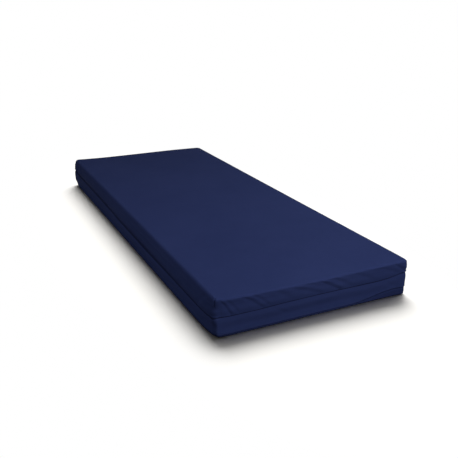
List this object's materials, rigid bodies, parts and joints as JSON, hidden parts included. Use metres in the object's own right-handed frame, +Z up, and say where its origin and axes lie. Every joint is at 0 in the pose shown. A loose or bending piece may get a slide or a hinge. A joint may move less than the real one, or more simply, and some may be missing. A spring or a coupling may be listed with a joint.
{
  "type": "pressure relief mattress",
  "caption": "Low rectangular foam hospital mattress in a navy wipe-clean cover, with a hanging flap round its middle that hides a zip, over castellated foam.",
  "frame": {"origin": "middle of the underside, on the surface that the mattress lies on", "axes": "+X across the width, +Y from the foot end to the head end, +Z up"},
  "size_m": [0.8, 2, 0.15],
  "materials": {
    "cover_fabric": "satin",
    "base_fabric": "satin",
    "zip_tape": "matte",
    "zip_chain": "satin",
    "zip_metal": "satin",
    "sock_knit": "matte",
    "firm_foam": "matte",
    "soft_foam": "matte",
    "heel_foam": "matte"
  },
  "bodies": {
    "root": {"top_cover": "cover_fabric", "base_cover": "base_fabric", "flap_corners": "cover_fabric", "upper_zip_tape": "zip_tape", "lower_zip_tape": "zip_tape", "upper_zip_chain": "zip_chain", "lower_zip_chain": "zip_chain", "zip_stop": "zip_metal", "inner_sock": "sock_knit", "base_foam": "firm_foam", "left_bolster": "firm_foam", "right_bolster": "firm_foam", "head_bolster": "firm_foam", "foot_bolster": "firm_foam", "head_zone": "soft_foam", "torso_zone": "soft_foam", "heel_zone": "heel_foam"},
    "flap_foot": {"flap_foot": "cover_fabric"},
    "flap_head": {"flap_head": "cover_fabric"},
    "flap_left": {"flap_left": "cover_fabric"},
    "flap_right": {"flap_right": "cover_fabric"},
    "slider": {"zip_slider": "zip_metal"},
    "pull": {"zip_pull": "zip_metal"}
  },
  "joints": [
    {"name": "flap_foot_lift", "type": "hinge", "parent": "root", "child": "flap_foot", "pos_m": [0, -0.9985, 0.118], "axis": [-1, 0, 0], "range_deg": [0, 120]},
    {"name": "flap_head_lift", "type": "hinge", "parent": "root", "child": "flap_head", "pos_m": [0, 0.9985, 0.118], "axis": [1, 0, 0], "range_deg": [0, 120]},
    {"name": "flap_left_lift", "type": "hinge", "parent": "root", "child": "flap_left", "pos_m": [-0.3985, 0, 0.118], "axis": [0, 1, 0], "range_deg": [0, 120]},
    {"name": "flap_right_lift", "type": "hinge", "parent": "root", "child": "flap_right", "pos_m": [0.3985, 0, 0.118], "axis": [0, -1, 0], "range_deg": [0, 120]},
    {"name": "slider_run", "type": "slide", "parent": "root", "child": "slider", "axis": [0, -1, 0], "range_m": [0, 1.88]},
    {"name": "pull_swing", "type": "hinge", "parent": "slider", "child": "pull", "pos_m": [0.3954, 0.938, 0.1], "axis": [0, 0, -1], "range_deg": [0, 170]}
  ]
}
